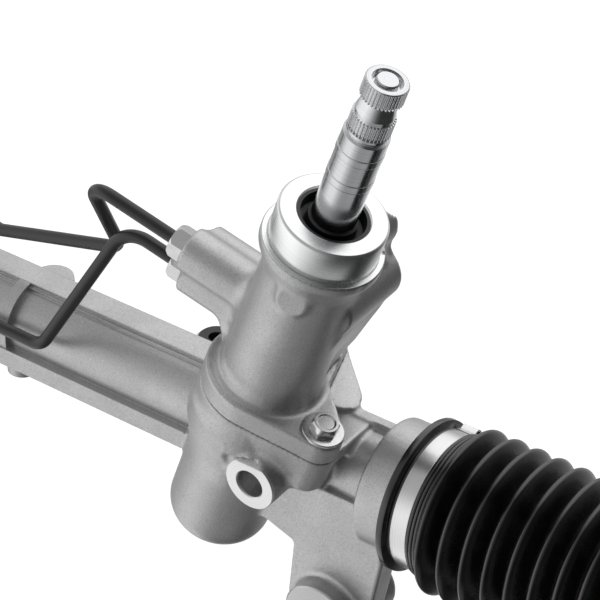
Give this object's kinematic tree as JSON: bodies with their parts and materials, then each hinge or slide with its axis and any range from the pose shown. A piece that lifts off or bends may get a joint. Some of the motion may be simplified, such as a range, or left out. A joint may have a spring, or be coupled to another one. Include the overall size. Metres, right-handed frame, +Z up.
{
  "type": "steering rack",
  "caption": "Hydraulic power steering rack with a tilted pinion and rotary valve, a steel cylinder, rubber boots, tie rods, a mounting foot and a clamp bracket.",
  "frame": {"origin": "on the rack bar's axis, where the pinion's axis crosses it in front", "axes": "+X along the rack bar to the pinion end's tie rod, +Z up, +Y to the rear, where the left bracket's face and the rack guide are"},
  "size_m": [1.3192, 0.0851, 0.2878],
  "materials": {
    "cast_aluminium": "bead-blasted casting with machined faces",
    "machined_steel": "turned and ground steel",
    "bearing_steel": "ground bearing steel",
    "painted_steel": "satin black paint on steel tube",
    "zinc_plated_steel": "zinc plated",
    "boot_rubber": "moulded rubber, satin",
    "seal_rubber": "moulded nitrile rubber",
    "sealing_plastic": "filled sealing plastic",
    "bearing_plastic": "moulded acetal",
    "spring_steel": "oil-tempered spring wire"
  },
  "bodies": {
    "housing": {"bar_bush": "bearing_plastic", "boot_clamp_left": "zinc_plated_steel", "boot_clamp_right": "zinc_plated_steel", "boot_left": "boot_rubber", "boot_right": "boot_rubber", "bracket_rubber": "seal_rubber", "cylinder_end_cap": "painted_steel", "cylinder_tube": "painted_steel", "eye_rubber": "seal_rubber", "eye_sleeve": "zinc_plated_steel", "flange_bolts": "zinc_plated_steel", "flange_o_ring": "seal_rubber", "flare_nuts": "zinc_plated_steel", "gear_housing": "cast_aluminium", "guide_liner": "bearing_plastic", "guide_lock_nut": "zinc_plated_steel", "guide_plug": "cast_aluminium", "guide_spring": "spring_steel", "left_bracket": "painted_steel", "line_clip": "painted_steel", "line_long": "painted_steel", "line_short": "painted_steel", "pinion_bearing_lower": "bearing_steel", "pinion_bearing_upper": "bearing_steel", "rack_guide": "cast_aluminium", "rear_grommet": "seal_rubber", "rod_seal_left": "seal_rubber", "rod_seal_right": "seal_rubber", "shaft_seal": "seal_rubber", "valve_bearing": "bearing_steel", "valve_housing": "cast_aluminium"},
    "rack": {"rack_bar": "machined_steel", "piston": "machined_steel", "piston_ring": "sealing_plastic", "lock_washer_right": "zinc_plated_steel", "lock_washer_left": "zinc_plated_steel", "tie_rod_socket_right": "machined_steel", "tie_rod_socket_left": "machined_steel", "ball_seat_right": "bearing_plastic", "ball_seat_left": "bearing_plastic"},
    "pinion": {"pinion": "machined_steel", "pinion_nut": "zinc_plated_steel", "valve_sleeve": "machined_steel", "sleeve_seal_rings": "sealing_plastic"},
    "input_shaft": {"input_shaft": "machined_steel", "torsion_bar": "machined_steel"},
    "tie_rod_right": {"tie_rod_right": "machined_steel", "jam_nut_right": "zinc_plated_steel", "boot_clip_right": "spring_steel"},
    "tie_rod_left": {"tie_rod_left": "machined_steel", "jam_nut_left": "zinc_plated_steel", "boot_clip_left": "spring_steel"}
  },
  "joints": [
    {"name": "rack_slide", "type": "slide", "parent": "housing", "child": "rack", "axis": [1, 0, 0], "range_m": [-0.072, 0.072], "deforming": ["boot_right", "boot_left"]},
    {"name": "pinion_spin", "type": "hinge", "parent": "housing", "child": "pinion", "pos_m": [0, -0.0155, 0], "axis": [0.3305, 0, 0.9438], "range_deg": [-580, 580]},
    {"name": "valve_twist", "type": "hinge", "parent": "pinion", "child": "input_shaft", "pos_m": [0.03305, -0.0155, 0.09438], "axis": [0.3305, 0, 0.9438], "range_deg": [-6, 6], "stiffness_Nm_per_rad": 70},
    {"name": "tie_rod_right_swing", "type": "hinge", "parent": "rack", "child": "tie_rod_right", "pos_m": [0.1916, 0, 0], "axis": [0, 1, 0], "range_deg": [-20, 20]},
    {"name": "tie_rod_left_swing", "type": "hinge", "parent": "rack", "child": "tie_rod_left", "pos_m": [-0.6276, 0, 0], "axis": [0, 1, 0], "range_deg": [-20, 20]}
  ],
  "couplings": [
    {"joint": "pinion_spin", "follows": "rack_slide", "rad_per_m": -138.89}
  ]
}
